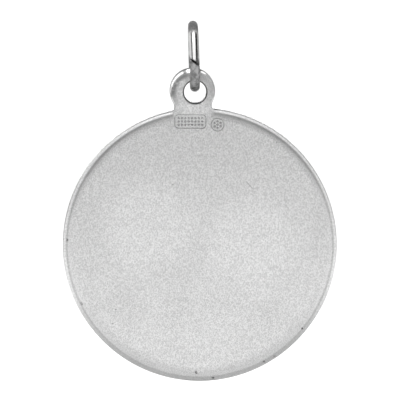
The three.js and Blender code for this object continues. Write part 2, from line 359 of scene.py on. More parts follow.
def tab_blank():
    chamfer = (TAB_BEVEL + TAB_EASE - TAB_EDGE_ROUND) * math.tan(TAB_EASE_SLOPE)
    sections = [
        (back_y, tab_outline(TAB_BEVEL, TAB_EASE)),
        (back_y + chamfer, tab_outline(TAB_EDGE_ROUND, 0)),
        (back_y + chamfer + TAB_EDGE_ROUND / 3, tab_outline(TAB_EDGE_ROUND / 3, 0)),
        (back_y + chamfer + TAB_EDGE_ROUND, tab_outline(0, 0)),
    ]
    for i in range(ROUND_STEPS + 1):
        angle = math.pi / 2 * i / ROUND_STEPS
        inset = TAB_BEVEL * (1 - math.cos(angle))
        sections.append((tab_front_y - TAB_BEVEL * (1 - math.sin(angle)), tab_outline(inset, 0)))
    return stacked(sections, "tab_blank")


tab = tab_blank()
inside_rim_r = disc_r - RIM_WIDTH / 2
inside_rim = spun([
    (0, back_y + FIELD_THICKNESS / 2), (inside_rim_r, back_y + FIELD_THICKNESS / 2),
    (inside_rim_r, rim_front_y + OVER), (0, rim_front_y + OVER),
], DISC_STEPS, "inside_rim")
carved(tab, [inside_rim], "DIFFERENCE")
print("tab blank", len(tab.data.polygons), "faces")

# %% [markdown]
# ## The relief on the front
# A struck cross has sloping sides, so that the die lets go of it, and so have the rays. Each is a stack of
# outlines again: the foot on the sunk field, and a smaller outline at the top. They reach a little way into
# the field, and the boolean makes them one with it.

# %% Cross
CROSS_HEIGHT = 15.6
CROSS_SPAN = 10.6
CROSS_CENTRE_RISE = 1.9
ARM_WIDTH = 1.7
ARM_FLARE = 0.55
CROSS_RELIEF = 0.36
CROSS_DRAFT = 0.22
RELIEF_ROOT = FIELD_THICKNESS / 4


def cross_outline(inset):
    half = ARM_WIDTH / 2 - inset
    flared = half + ARM_FLARE
    side = CROSS_SPAN / 2 - inset
    c = CROSS_CENTRE_RISE
    top = c + CROSS_SPAN / 2 - inset
    foot = c + CROSS_SPAN / 2 - CROSS_HEIGHT + inset
    return [
        (-flared, foot), (flared, foot), (half, c - half), (side, c - flared), (side, c + flared),
        (half, c + half), (flared, top), (-flared, top), (-half, c + half), (-side, c + flared),
        (-side, c - flared), (-half, c - half),
    ]


cross = stacked([
    (field_y - RELIEF_ROOT, cross_outline(0)),
    (field_y, cross_outline(0)),
    (field_y + CROSS_RELIEF - SOFT_EDGE, cross_outline(CROSS_DRAFT - SOFT_EDGE)),
    (field_y + CROSS_RELIEF, cross_outline(CROSS_DRAFT + SOFT_EDGE)),
], "cross")
print("cross", len(cross.data.polygons), "faces")

# %% Rays
RAY_INNER_R = 2.3
RAY_LENGTH = 5.6
RAY_SHARES = (0.54, 0.79, 1, 0.79, 0.54)
RAY_WIDTH = 0.62
RAY_HEIGHT = 0.2
RAY_TOP_WIDTH = RAY_WIDTH / 8
RAY_TOP_LENGTH = 0.9


def ray(length, turn):
    def outline(width, tip):
        return [(-width / 2, RAY_INNER_R), (width / 2, RAY_INNER_R), (0, RAY_INNER_R + tip)]

    blade = stacked([
        (field_y - RELIEF_ROOT, outline(RAY_WIDTH, length)),
        (field_y, outline(RAY_WIDTH, length)),
        (field_y + RAY_HEIGHT, outline(RAY_TOP_WIDTH, length * RAY_TOP_LENGTH)),
    ], "ray")
    return set_at(blade, 0, 0, turn)


rays = []
for quarter in range(4):
    for i, part in enumerate(RAY_SHARES):
        turn = math.pi / 2 * (quarter + (i + 1) / (len(RAY_SHARES) + 1))
        rays.append(ray(RAY_LENGTH * part, turn))
print("rays", len(rays))
rays = set_at(carved(rays[0], rays[1:], "UNION"), 0, CROSS_CENTRE_RISE)

# %% [markdown]
# ## The hole and the punch marks
# The hole is drilled through the tab and lightly countersunk on both faces, and on the back the ring has worn
# its edge a little further towards one side. Small punches are struck into a back like this one: a sunk bar
# filled with a waffle of low pyramids, a round one with a rosette of seven, and below them a row of faint
# dots. A punch is a solid that is taken away, and each pyramid is a stud that is put back.

# %% Hole cutters
HOLE_STEPS = 96

drill = spun([
    (0, back_y - OVER), (hole_r + HOLE_CHAMFER + OVER, back_y - OVER), (hole_r, back_y + HOLE_CHAMFER),
    (hole_r, tab_front_y - HOLE_CHAMFER), (hole_r + HOLE_CHAMFER + OVER, tab_front_y + OVER),
    (0, tab_front_y + OVER),
], HOLE_STEPS, "drill")
worn = spun([
    (0, back_y - OVER), (hole_r + HOLE_WEAR + OVER, back_y - OVER), (hole_r, back_y + HOLE_WEAR),
    (0, back_y + HOLE_WEAR),
], HOLE_STEPS, "worn")
set_at(drill, 0, hole_rise)
set_at(worn, -HOLE_WEAR * math.sqrt(0.5), hole_rise - HOLE_WEAR * math.sqrt(0.5))
print("drill", len(drill.data.polygons), "faces, wear", len(worn.data.polygons), "faces")

# %% Punch cutters
PUNCH_DEPTH = 0.12
PUNCH_DRAFT = 0.1
BAR_AT = (-0.56, disc_r - 1.24)
BAR_SIZE = (3.16, 1.43)
BAR_CORNER = 0.4
BAR_TURN = math.radians(2)
ROUND_AT = (2.1, disc_r - 1.64)
ROUND_R = 0.68


def bar_outline(inset):
    x = BAR_SIZE[0] / 2 - BAR_CORNER
    z = BAR_SIZE[1] / 2 - BAR_CORNER
    corner = BAR_CORNER - inset
    quarter = math.pi / 2
    return (
        arc(x, -z, corner, -quarter, 0, FILLET_STEPS) + arc(x, z, corner, 0, quarter, FILLET_STEPS)
        + arc(-x, z, corner, quarter, math.pi, FILLET_STEPS)
        + arc(-x, -z, corner, math.pi, math.pi + quarter, FILLET_STEPS)
    )


def round_outline(inset):
    return arc(0, 0, ROUND_R - inset, 0, math.tau, 4 * FILLET_STEPS)[:-1]


def punch(outline, name):
    return stacked([
        (back_y - PUNCH_DEPTH, outline(-PUNCH_DRAFT)),
        (back_y + PUNCH_DEPTH, outline(PUNCH_DRAFT)),
    ], name)


bar_punch = set_at(punch(bar_outline, "bar_punch"), *BAR_AT, BAR_TURN)
round_punch = set_at(punch(round_outline, "round_punch"), *ROUND_AT)
print("punches", PUNCH_DEPTH, "mm deep")

# %% Studs and dots
STUD_PITCH = 0.33
STUD_ROWS = 3
STUDS_IN_ROW = 8
STUD_R = 0.2
STUD_HEIGHT = 0.1
STUD_ROOT = 0.05
STUD_TOP_R = STUD_R * 0.25
PETALS = 6
DOTS = 5
DOT_PITCH = 0.85
DOTS_AT = (0.08, disc_r - 4.55)
DOT_SIZE = (0.26, 0.018, 0.26)
BEAD_STEPS = (20, 12)


def stud(x, z, turn=0.0):
    bm = bmesh.new()
    bmesh.ops.create_cone(
        bm, cap_ends=True, segments=4, radius1=STUD_R, radius2=STUD_TOP_R, depth=STUD_HEIGHT + STUD_ROOT
    )
    bmesh.ops.rotate(bm, verts=bm.verts, matrix=Matrix.Rotation(math.pi / 2, 3, "X"))
    middle_y = back_y + PUNCH_DEPTH + STUD_ROOT / 2 - STUD_HEIGHT / 2
    return set_at(object_from(bm, "stud"), x, z, turn, middle_y)


def bead(size, x, y, z, turn=0.0):
    bm = bmesh.new()
    bmesh.ops.create_uvsphere(bm, u_segments=BEAD_STEPS[0], v_segments=BEAD_STEPS[1], radius=1.0)
    bmesh.ops.scale(bm, vec=size, verts=bm.verts)
    return set_at(object_from(bm, "bead"), x, z, turn, y)


def row_along(at, turn, pitch, count):
    for i in range(count):
        along = (i - (count - 1) / 2) * pitch
        yield at[0] + along * math.cos(turn), at[1] - along * math.sin(turn)


studs = []
for row in range(STUD_ROWS):
    rise = (row - (STUD_ROWS - 1) / 2) * STUD_PITCH
    row_at = (BAR_AT[0] + rise * math.sin(BAR_TURN), BAR_AT[1] + rise * math.cos(BAR_TURN))
    studs += [stud(x, z, BAR_TURN) for x, z in row_along(row_at, BAR_TURN, STUD_PITCH, STUDS_IN_ROW)]
studs.append(stud(*ROUND_AT))
for i in range(PETALS):
    bearing = math.tau * i / PETALS
    studs.append(stud(
        ROUND_AT[0] + STUD_PITCH * math.sin(bearing), ROUND_AT[1] + STUD_PITCH * math.cos(bearing), bearing
    ))
print("studs", len(studs))
studs = merged(studs, "studs")
dots = merged([bead(DOT_SIZE, x, back_y, z) for x, z in row_along(DOTS_AT, 0.0, DOT_PITCH, DOTS)], "dots")

# %% [markdown]
# ## Nicks, pits and scratches
# A worn back has a few small injuries, and they are what makes the metal look real. Each is a blunt cutter
# that just touches the surface: a squashed ball for a pit or a nick in the edge, and a long thin one for a
# scratch. The table gives each one's place from the middle of the disc, its half length and half width, its
# depth and its turn.

# %% Pits and scratches
INJURIES = (
    # x, rise, half length, half width, depth, turn in degrees, sunk below the flat
    (-12.66, 3.26, 0.22, 0.12, 0.14, 70, 0.02),
    (-13.03, 0.99, 0.14, 0.10, 0.14, 90, 0.08),
    (-11.84, -5.38, 0.16, 0.11, 0.14, 60, 0.05),
    (-8.50, -6.07, 0.12, 0.10, 0.03, 0, 0.0),
    (-8.84, -7.45, 0.11, 0.10, 0.03, 0, 0.0),
    (-0.78, -12.59, 0.17, 0.10, 0.12, 60, 0.0),
    (0.88, -13.19, 0.14, 0.10, 0.12, 0, 0.1),
    (5.97, -11.76, 0.12, 0.09, 0.12, 30, 0.1),
    (6.98, -11.25, 0.10, 0.08, 0.10, 30, 0.1),
    (9.83, -8.56, 0.12, 0.09, 0.10, 45, 0.08),
    (-2.48, 6.11, 0.11, 0.09, 0.03, 0, 0.0),
    (7.88, 9.95, 0.10, 0.08, 0.05, 0, 0.0),
    (5.07, 5.78, 0.82, 0.045, 0.03, 49, 0.0),
    (4.37, 3.58, 0.70, 0.035, 0.02, 14, 0.0),
    (7.48, -7.85, 0.45, 0.035, 0.02, -40, 0.0),
)
injuries = merged([
    bead((length, depth, width), x, back_y + sunk, rise, math.radians(turn))
    for x, rise, length, width, depth, turn, sunk in INJURIES
], "injuries")
print("injuries", len(INJURIES))

# %% [markdown]
# ## Striking the medal
# The joins come first and the cuts last, so that no cut is filled again. Smooth shading over a flat back
# needs care: with plain smooth normals, the large flat would shade like a dome next to its rounded edge.
# The Weighted Normal modifier gives the large faces the say, and edges sharper than a set angle stay crisp.

# %% Join, cut and shade
SHARP_ANGLE = math.radians(24)

carved(disc, [tab, cross], "UNION")
carved(disc, [rays], "UNION")
carved(disc, [drill, worn, bar_punch, round_punch, dots, injuries], "DIFFERENCE")
carved(disc, [studs], "UNION")


def shaded(piece, sharp_angle):
    for face in piece.data.polygons:
        face.use_smooth = True
    piece.data.set_sharp_from_angle(angle=sharp_angle)
    weigh = piece.modifiers.new("weigh_normals", "WEIGHTED_NORMAL")
    weigh.weight = 100
    weigh.keep_sharp = True


shaded(disc, SHARP_ANGLE)
disc.name = "medal"
medal = placed(disc, disc_z)

# %% [markdown]
# ## The jump ring
# The ring is round wire bent to a circle, with its two ends butted and soldered. A circle spun round the
# ring's axis gives the wire. Two slanted planes are cut across it near the seam with `bisect_plane`, and a
# third one between them, whose loop is drawn in towards the wire's middle: that is the dark hairline of the
# joint.

# %% Wire
WIRE_STEPS = 48
RING_STEPS = 180
SEAM_WIDTH = 0.16
SEAM_DEPTH = 0.18
SEAM_DROP = 0.34
SEAM_SLANT = math.radians(40)
SEAM_REACH = 1.2
ON_PLANE = 1e-3
RING_SHARP_ANGLE = math.radians(30)


def wire_ring():
    bm = bmesh.new()
    bmesh.ops.create_circle(bm, radius=WIRE_D / 2, segments=WIRE_STEPS)
    bmesh.ops.translate(bm, vec=(0, ring_mid_r, 0), verts=bm.verts)
    circle = bm.verts[:] + bm.edges[:]
    bmesh.ops.spin(
        bm, geom=circle, cent=(0, 0, 0), axis=(1, 0, 0), angle=math.tau, steps=RING_STEPS, use_merge=True
    )
    bmesh.ops.remove_doubles(bm, verts=bm.verts, dist=SAME_POINT)
    return bm


def cut_seam(bm):
    bearing = math.asin(SEAM_DROP / ring_mid_r)
    centre = Vector((0, -ring_mid_r * math.cos(bearing), -ring_mid_r * math.sin(bearing)))
    normal = Matrix.Rotation(bearing, 3, "X") @ Vector((math.sin(SEAM_SLANT), 0, math.cos(SEAM_SLANT)))
    for offset in (-SEAM_WIDTH / 2, 0, SEAM_WIDTH / 2):
        near = [face for face in bm.faces if (face.calc_center_median() - centre).length < SEAM_REACH]
        around = {part for face in near for part in (face, *face.edges, *face.verts)}
        bmesh.ops.bisect_plane(
            bm, geom=list(around), dist=ON_PLANE / 10, plane_co=centre + normal * offset, plane_no=normal
        )
    middle = [
        vert for vert in bm.verts
        if abs((vert.co - centre).dot(normal)) < ON_PLANE and (vert.co - centre).length < SEAM_REACH
    ]
    drawn_in = 1 - 2 * SEAM_DEPTH / WIRE_D
    bmesh.ops.scale(bm, vec=(drawn_in,) * 3, space=Matrix.Translation(-centre), verts=middle)
    print("seam loop", len(middle), "points")


ring_mesh = wire_ring()
cut_seam(ring_mesh)
ring = object_from(ring_mesh, "ring")
shaded(ring, RING_SHARP_ANGLE)
ring = placed(ring, ring_z)

# %% [markdown]
# ## Silver
# Sterling silver is the whitest of the metals in use. Blasted with fine grit it turns to a soft satin that
# spreads each reflection over some twenty degrees, and drawn and polished it is nearly a mirror. Both are
# the same metal with another roughness, so one function starts them, and each adds its own grain. Colours
# are sRGB hex values, turned to linear by one function. A pattern reads the point's own place on the piece,
# and a Mapping node turns that into millimetres from the piece's middle, so the sizes below are real ones.
# The middle is taken inside the metal: a noise is at its faintest where a coordinate is zero, so a flat face
# that lies there would lose its grain.

# %% Colour and node helpers
def linear(hex_colour):
    channels = [int(hex_colour[i:i + 2], 16) / 255 for i in (1, 3, 5)]
    return (*(c / 12.92 if c <= 0.04045 else ((c + 0.055) / 1.055) ** 2.4 for c in channels), 1)


def add_node(tree, kind, sockets=(), **settings):
    node = tree.nodes.new(kind)
    for name, value in settings.items():
        setattr(node, name, value)
    for name, value in dict(sockets).items():
        if isinstance(value, bpy.types.NodeSocket):
            tree.links.new(value, node.inputs[name])
        else:
            node.inputs[name].default_value = value
    return node


# %% What both metals start from
def metal(name, middle_z):
    material = bpy.data.materials.new(name)
    material.use_nodes = True
    tree = material.node_tree
    tree.nodes.clear()
    shader = add_node(tree, "ShaderNodeBsdfPrincipled", {"Metallic": 1.0})
    add_node(tree, "ShaderNodeOutputMaterial", {"Surface": shader.outputs["BSDF"]})
    coords = add_node(tree, "ShaderNodeTexCoord")
    place = add_node(tree, "ShaderNodeMapping", {
        "Vector": coords.outputs["Object"], "Scale": (1 / MM,) * 3, "Location": (0, 0, -middle_z),
    })
    return material, tree, shader, place.outputs["Vector"]


# %% [markdown]
# ## Where the silver is darkened
# Some of the darkening is tarnish, in blotches on the tab. The rest is painted shade: along the turn of the
# edge, most at its top and foot, on the tab's side wall, on the walls of the punch marks and round the hole.
# The deepest nicks are darker too. Each of these zones can be told from the point's own
# place on the medal: its distance from an axis, its height, or its depth below the back. A zone is a short
# list of limits that must all hold. Each limit names such a length, where it starts to count and where it
# counts in full. Map Range nodes turn the lengths into shares from 0 to 1, the shares of one zone are
# multiplied, and where zones overlap the largest wins.

# %% Zones on a piece
def distance(tree, place, x=0, rise=0, counted=(1, 0, 1)):
    """How far a point is from an axis along Y, with the axes that are counted."""
    kind = "ShaderNodeVectorMath"
    offset = add_node(tree, kind, {0: place, 1: (x, 0, rise)}, operation="SUBTRACT").outputs["Vector"]
    offset = add_node(tree, kind, {0: offset, 1: counted}, operation="MULTIPLY").outputs["Vector"]
    return add_node(tree, kind, {0: offset}, operation="LENGTH").outputs["Value"]


def share(tree, *zones):
    """How far a point is inside any of the zones. A limit may end with the shares at its two ends."""
    most = 0.0
    for limits in zones:
        inside = 1.0
        for value, start, full, *ends in limits:
            least, whole = ends or (0.0, 1.0)
            ramp = add_node(tree, "ShaderNodeMapRange", {
                "Value": value, "From Min": start, "From Max": full, "To Min": least, "To Max": whole,
            }, interpolation_type="SMOOTHSTEP")
            inside = add_node(tree, "ShaderNodeMath", {
                0: inside, 1: ramp.outputs["Result"],
            }, operation="MULTIPLY").outputs[0]
        most = add_node(tree, "ShaderNodeMath", {0: most, 1: inside}, operation="MAXIMUM").outputs[0]
    return most


def stained_and_shaded(tree, colour, stains):
    """A colour with each stain or painted shade laid over the ones before it."""
    for amount, hex_colour in stains:
        colour = add_node(tree, "ShaderNodeMix", {
            "Factor": amount, "A": colour, "B": linear(hex_colour),
        }, data_type="RGBA").outputs["Result"]
    return colour


# %% Where a point is on the medal
BACK_HALF = (0.6, 0.4)
NECK_WIDTH = (2.2, 1.75)
NECK_RISE = (11.0, 11.8)
TAB_RISE = (disc_r + 0.2, disc_r + 0.9)


def whereabouts(tree, place):
    """Lengths from the middle of the disc's back, and limits that several zones share."""
    axes = add_node(tree, "ShaderNodeSeparateXYZ", {"Vector": place}).outputs
    at = SimpleNamespace(place=place, height=axes["Z"], radius=distance(tree, place))
    at.depth = add_node(tree, "ShaderNodeMath", {0: axes["Y"], 1: back_y}, operation="SUBTRACT").outputs[0]
    at.off_neck = distance(tree, place, EYE_OFFSET, 0, (1, 0, 0))
    at.behind = (at.depth, *BACK_HALF)
    neck = share(tree, [(at.off_neck, *NECK_WIDTH), (at.height, *NECK_RISE)])
    at.beside_neck = (neck, 1.0, 0.0)
    at.on_tab = (at.height, *TAB_RISE)
    return at


# %% Painted shade along the turn of the edge, as distances from the middle of the disc
EDGE_ROLL = (12.75, 13.05)
EDGE_ROLL_SHADE = 0.48
ROLL_FROM_MIDDLE = (2, 11)
LOW_ROLL = (11.8, 13.1)
LOW_ROLL_SHADE = 0.45
LOW_PART = (-3, -11)
EDGE_LINE = (12.95, 13.08)
EDGE_LINE_SHADE = 0.28
EDGE_END = (13.26, 13.16)


# Painted shade: the turn of the edge is darkened most at the top and the foot, and further in over the lower
# part.
def edge_painted_shade(tree, at):
    off_middle = distance(tree, at.place, counted=(0, 0, 1))
    return [
        [(at.radius, *EDGE_ROLL, 0.0, EDGE_ROLL_SHADE), (at.radius, *EDGE_END),
         (off_middle, *ROLL_FROM_MIDDLE), at.behind, at.beside_neck],
        [(at.radius, *LOW_ROLL, 0.0, LOW_ROLL_SHADE), (at.height, *LOW_PART), at.behind],
    ]


# Painted shade: a dark line all round the turn of the edge, reaching further out over the lower part.
def painted_edge_line(at):
    line = (at.radius, *EDGE_LINE, 0.0, EDGE_LINE_SHADE)
    return [
        [line, (at.radius, *EDGE_END), at.behind, at.beside_neck],
        [line, (at.height, *LOW_PART), at.behind, at.beside_neck],
    ]


# %% Tarnish blotches on the tab, and painted shade on its side wall
TAB_BLOTCH = 0.5
BLOTCH_EDGES = (0.3, 0.46)
TAB_FACE = (0.12, 0.04)
TAB_MARGIN = (EYE_R - 0.85, EYE_R - 0.35)
MARGIN_BELOW_EYE = 0.2
MARGIN_SHARE = (0.15, 0.4)
UPPER_LEFT_AT = (-1.7, eye_rise + 0.8)
UPPER_LEFT_REACH = (2.0, 0.9)
TAB_SIDE = (0.17, 0.21)
TAB_SIDE_END = (TAB_THICKNESS - 0.1, TAB_THICKNESS - 0.2)
TAB_SIDE_RISE = (disc_r - 0.3, disc_r - 0.1)
TAB_SIDE_SHADE = 0.85


def tab_tarnish_and_shade(tree, at):
    blotch = add_node(tree, "ShaderNodeTexNoise", {
        "Vector": at.place, "Scale": 1 / TAB_BLOTCH, "Detail": 3.0, "Roughness": 0.6,
    })
    spots = [(blotch.outputs["Fac"], *BLOTCH_EDGES), at.on_tab, (at.depth, *TAB_FACE)]
    from_eye = distance(tree, at.place, EYE_OFFSET, eye_rise - MARGIN_BELOW_EYE)
    upper_left = (distance(tree, at.place, *UPPER_LEFT_AT), *UPPER_LEFT_REACH)
    return [
        [*spots, (from_eye, *TAB_MARGIN), upper_left],
        [*spots, (from_eye, *TAB_MARGIN, *MARGIN_SHARE)],
        # Painted shade: the tab's side wall is darkened into a dark outline.
        [(at.height, *TAB_SIDE_RISE, 0.0, TAB_SIDE_SHADE), (at.depth, *TAB_SIDE), (at.depth, *TAB_SIDE_END)],
    ]


# %% Painted shade on the walls of the punch marks and round the hole, and darker deep nicks
WALL_FROM = (0.012, 0.03)
WALL_TO = (PUNCH_DEPTH - 0.004, PUNCH_DEPTH - 0.03)
WALL_SHADE = 0.6
PIT_FROM = (PUNCH_DEPTH + 0.004, PUNCH_DEPTH + 0.02)
MARKS_WITHIN = (12.9, 12.8)
NECK_MARKS_ACROSS = (1.75, 1.6)
NECK_MARKS_UP = (13.3, 13.1)
HOLE_SHADE = (hole_r + 0.18, hole_r + 0.05)


def hollow_shade_and_dark_nicks(tree, at):
    along_pillow = add_node(tree, "ShaderNodeMapRange", {
        "Value": at.radius, "From Min": flat_r, "From Max": back_edge_r,
    }).outputs["Result"]
    dropped = add_node(tree, "ShaderNodeMath", {0: along_pillow, 1: 2.0}, operation="POWER").outputs[0]
    off_tab = share(tree, [at.beside_neck])
    dropped = add_node(tree, "ShaderNodeMath", {0: dropped, 1: off_tab}, operation="MULTIPLY").outputs[0]
    below = add_node(tree, "ShaderNodeMath", {
        0: dropped, 1: -PILLOW_DROP, 2: at.depth,
    }, operation="MULTIPLY_ADD").outputs[0]
    marked = share(
        tree, [(at.radius, *MARKS_WITHIN)], [(at.off_neck, *NECK_MARKS_ACROSS), (at.height, *NECK_MARKS_UP)]
    )
    marked = (marked, 0.0, 1.0)
    from_hole = distance(tree, at.place, 0, hole_rise)
    # Painted shade on the walls of the punch marks and in a ring round the hole; the deepest nicks are darker
    # too.
    return [
        [(below, *WALL_FROM), (below, *WALL_TO, 0.0, WALL_SHADE), marked, at.behind],
        [(below, *PIT_FROM), marked, at.behind],
        [(from_hole, *HOLE_SHADE), at.behind],
    ]


# %% [markdown]
# ## Satin on the back, polish on the relief
# The grit leaves pits of about a tenth of a millimetre, slightly drawn out from top to bottom by the last
# brushing. It is seen both as bump and as a mottle of lighter and darker grains, because each pit hides a
# little tarnish. Handling makes softer clouds, some four millimetres across, in both colour and gloss. A
# thin film of tarnish lies over all but the places that a finger or the chain keeps rubbed. The filed slope
# of the tab is bright, and on the front the tops of the rim, the line, the cross and the rays are polished
# after blasting, while the sunk field between them keeps its tarnish. The depth of a point tells the
# material which of these it is on. The first colour is the silver between the grains, and each line after
# it is laid over the ones before: the bright grains, the film, the filed slope, the painted shade along the
# edge and the tab's side with the tarnish of the tab and the field, and the painted dark lines and shade in
# the hollows, with the darker nicks.

# %% Sizes of the satin and its zones
GRIT = 0.085
GRIT_DRAWN_OUT = 1.35
GRIT_EDGES = (0.34, 0.66)
GRIT_HEIGHT = 0.03
GRIT_STRENGTH = 0.5
MIDDLE_GRIT = 0.5
CLOUD = 4.0
CLOUD_EDGES = (0.3, 0.7)
SATIN_ROUGHNESS = (0.38, 0.46)
POLISHED_ROUGHNESS = 0.2
FILM_SHARE = (0.07, 0.115)
RUBBED = ((-5.0, 2.3, 7.0), (4.8, 0.3, 7.0), (-0.3, 14.0, 2.8))
RELIEF_TOP = (FIELD_THICKNESS + 0.06, FIELD_THICKNESS + 0.14)
FIELD_FROM = (FIELD_THICKNESS - 0.4, FIELD_THICKNESS - 0.2)
FIELD_TO = (FIELD_THICKNESS + 0.1, FIELD_THICKNESS + 0.02)
FIELD_REACH = (field_r + 0.12, field_r - 0.02)
FIELD_TARNISH = 0.5
SLOPE_FROM = (0.01, 0.04)
SLOPE_TO = (0.24, 0.2)
print(f"grit {GRIT} mm, clouds {CLOUD} mm")


# %% Satin silver for the medal
def satin_silver():
    material, tree, shader, place = metal("sterling_silver_satin", disc_z)
    at = whereabouts(tree, place)
    drawn_out = add_node(tree, "ShaderNodeMapping", {"Vector": place, "Scale": (1, 1, 1 / GRIT_DRAWN_OUT)})
    grit = add_node(tree, "ShaderNodeTexNoise", {
        "Vector": drawn_out.outputs["Vector"], "Scale": 1 / GRIT, "Detail": 2.0, "Roughness": 0.6,
    }).outputs["Fac"]
    cloud = add_node(tree, "ShaderNodeTexNoise", {
        "Vector": place, "Scale": 1 / CLOUD, "Detail": 3.0,
    }).outputs["Fac"]
    rubbed = [[(distance(tree, place, x, rise), reach, reach / 4)] for x, rise, reach in RUBBED]
    filed = [at.on_tab, (at.depth, *SLOPE_FROM), (at.depth, *SLOPE_TO)]
    field = [(at.depth, *FIELD_FROM), (at.depth, *FIELD_TO), (at.radius, *FIELD_REACH, 0.0, FIELD_TARNISH)]
    bright = share(tree, filed, [(at.depth, *RELIEF_TOP)])
    colour = stained_and_shaded(tree, linear("#CDCDCD"), (
        (share(tree, [(grit, *GRIT_EDGES)]), "#F6F6F6"),
        (share(tree, [(share(tree, *rubbed), 1.0, 0.0), (cloud, *CLOUD_EDGES, *FILM_SHARE)]), "#505050"),
        (share(tree, filed), "#FFFFFF"),
        # Painted shade along the edge's turn and on the tab's side wall, with tarnish blotches on the tab and
        # tarnish on the sunk front field.
        (share(tree, *edge_painted_shade(tree, at), *tab_tarnish_and_shade(tree, at), field), "#8E8E8E"),
        # Painted shade: a dark line along the edge's turn, the walls of the punch marks and a ring round the
        # hole; the deepest nicks are darker too.
        (share(tree, *painted_edge_line(at), *hollow_shade_and_dark_nicks(tree, at)), "#4C4C4C"),
    ))
    satin = share(tree, [(cloud, *CLOUD_EDGES, *SATIN_ROUGHNESS)])
    rough = add_node(tree, "ShaderNodeMix", {
        "Factor": bright, "A": satin, "B": POLISHED_ROUGHNESS,
    }, data_type="FLOAT")
    levelled = add_node(tree, "ShaderNodeMix", {
        "Factor": bright, "A": grit, "B": MIDDLE_GRIT,
    }, data_type="FLOAT")
    bump = add_node(tree, "ShaderNodeBump", {
        "Height": levelled.outputs["Result"], "Strength": GRIT_STRENGTH, "Distance": GRIT_HEIGHT * MM,
    })
    tree.links.new(colour, shader.inputs["Base Color"])
    tree.links.new(rough.outputs["Result"], shader.inputs["Roughness"])
    tree.links.new(bump.outputs["Normal"], shader.inputs["Normal"])
    return material


# %% [markdown]
# ## Polish on the ring
# The wire is drawn and polished, bright above its joint, and darker and duller grey below it. Fine scuffs,
# about half a millimetre long, change its gloss and break up the grey. The joint itself shows as a dark
# hairline, darkest where it is a little open.

# %% Polished silver for the ring
SCUFF = 0.45
SCUFF_EDGES = (0.35, 0.65)
WIRE_ROUGHNESS = (0.14, 0.24)
BELOW_JOINT_ROUGHNESS = 0.38
SCUFF_HEIGHT = 0.02
SCUFF_STRENGTH = 0.15
BELOW_JOINT = (0.05, -0.35)
SEAM_EDGES = (SEAM_WIDTH, SEAM_WIDTH * 0.35)
SEAM_CORE_X = -0.08
SEAM_CORE = (0.34, 0.16)
SEAM_CORE_COUNTED = (1, 0, 0.6)
SEAM_CORE_SHARE = (0.3, 1.0)
NEAR_HALF = (0.0, -1.0)


def seam_zone(tree, place, axes):
    off_seam = add_node(tree, "ShaderNodeVectorMath", {
        0: place, 1: (math.sin(SEAM_SLANT), 0, math.cos(SEAM_SLANT)),
    }, operation="DOT_PRODUCT").outputs["Value"]
    middle = -SEAM_DROP * math.cos(SEAM_SLANT)
    start, full = SEAM_EDGES
    from_core = distance(tree, place, SEAM_CORE_X, -SEAM_DROP, SEAM_CORE_COUNTED)
    return [
        (off_seam, middle - start, middle - full), (off_seam, middle + start, middle + full),
        (axes["Y"], *NEAR_HALF), (from_core, *SEAM_CORE, *SEAM_CORE_SHARE),
    ]


def polished_silver():
    material, tree, shader, place = metal("sterling_silver_polished", ring_z)
    axes = add_node(tree, "ShaderNodeSeparateXYZ", {"Vector": place}).outputs
    scuff = add_node(tree, "ShaderNodeTexNoise", {
        "Vector": place, "Scale": 1 / SCUFF, "Detail": 4.0, "Roughness": 0.6,
    }).outputs["Fac"]
    below_joint = (axes["Z"], *BELOW_JOINT)
    colour = stained_and_shaded(tree, linear("#ECECEC"), (
        (share(tree, [below_joint]), "#6E6E6E"),
        (share(tree, [below_joint, (scuff, *SCUFF_EDGES)]), "#A4A4A4"),
        (share(tree, seam_zone(tree, place, axes)), "#1C1C1C"),
    ))
    rough = add_node(tree, "ShaderNodeMix", {
        "Factor": share(tree, [below_joint]), "A": share(tree, [(scuff, *SCUFF_EDGES, *WIRE_ROUGHNESS)]),
        "B": BELOW_JOINT_ROUGHNESS,
    }, data_type="FLOAT")
    bump = add_node(tree, "ShaderNodeBump", {
        "Height": scuff, "Strength": SCUFF_STRENGTH, "Distance": SCUFF_HEIGHT * MM,
    })
    tree.links.new(colour, shader.inputs["Base Color"])
    tree.links.new(rough.outputs["Result"], shader.inputs["Roughness"])
    tree.links.new(bump.outputs["Normal"], shader.inputs["Normal"])
    return material


# %% The metals on their pieces
for piece, finish in ((medal, satin_silver()), (ring, polished_silver())):
    piece.data.materials.clear()
    piece.data.materials.append(finish)
    print(piece.name, finish.name, len(finish.node_tree.nodes), "nodes")

# %% [markdown]
# ## The set
# The medal hangs above a pale floor, in soft light from all round. Polished metal shows what stands round it
# more than it shows light, so a silversmith's photographer works with cards. The surround is white. A soft
# light overhead whitens the upper edges, and a low strip of light behind the medal draws the bright line
# round the disc's upper edge. A dark strip in front shades the upper part of the flat back, and grey cards
# behind give every rounded edge its dark outline. The cards are seen in reflections only, so they cast no
# shadow on the floor.

# %% Floor
FLOOR_GAP = 12 * MM
FLOOR_R = 2.0
FLOOR_STEPS = 64
MATT = 0.9


def matt_paper(name, hex_colour):
    material = bpy.data.materials.new(name)
    material.use_nodes = True
    shader = material.node_tree.nodes["Principled BSDF"]
    shader.inputs["Base Color"].default_value = linear(hex_colour)
    shader.inputs["Roughness"].default_value = MATT
    return material


def pale_floor():
    bm = bmesh.new()
    bmesh.ops.create_circle(bm, cap_ends=True, segments=FLOOR_STEPS, radius=FLOOR_R)
    bmesh.ops.translate(bm, vec=(0, 0, medal_low.z * MM - FLOOR_GAP), verts=bm.verts)
    floor = object_from(bm, "floor")
    floor.data.materials.append(matt_paper("pale_floor", "#F4F4F4"))
    return floor


floor = pale_floor()
print("floor", FLOOR_R, "m in radius,", round(FLOOR_GAP / MM), "mm below the medal")

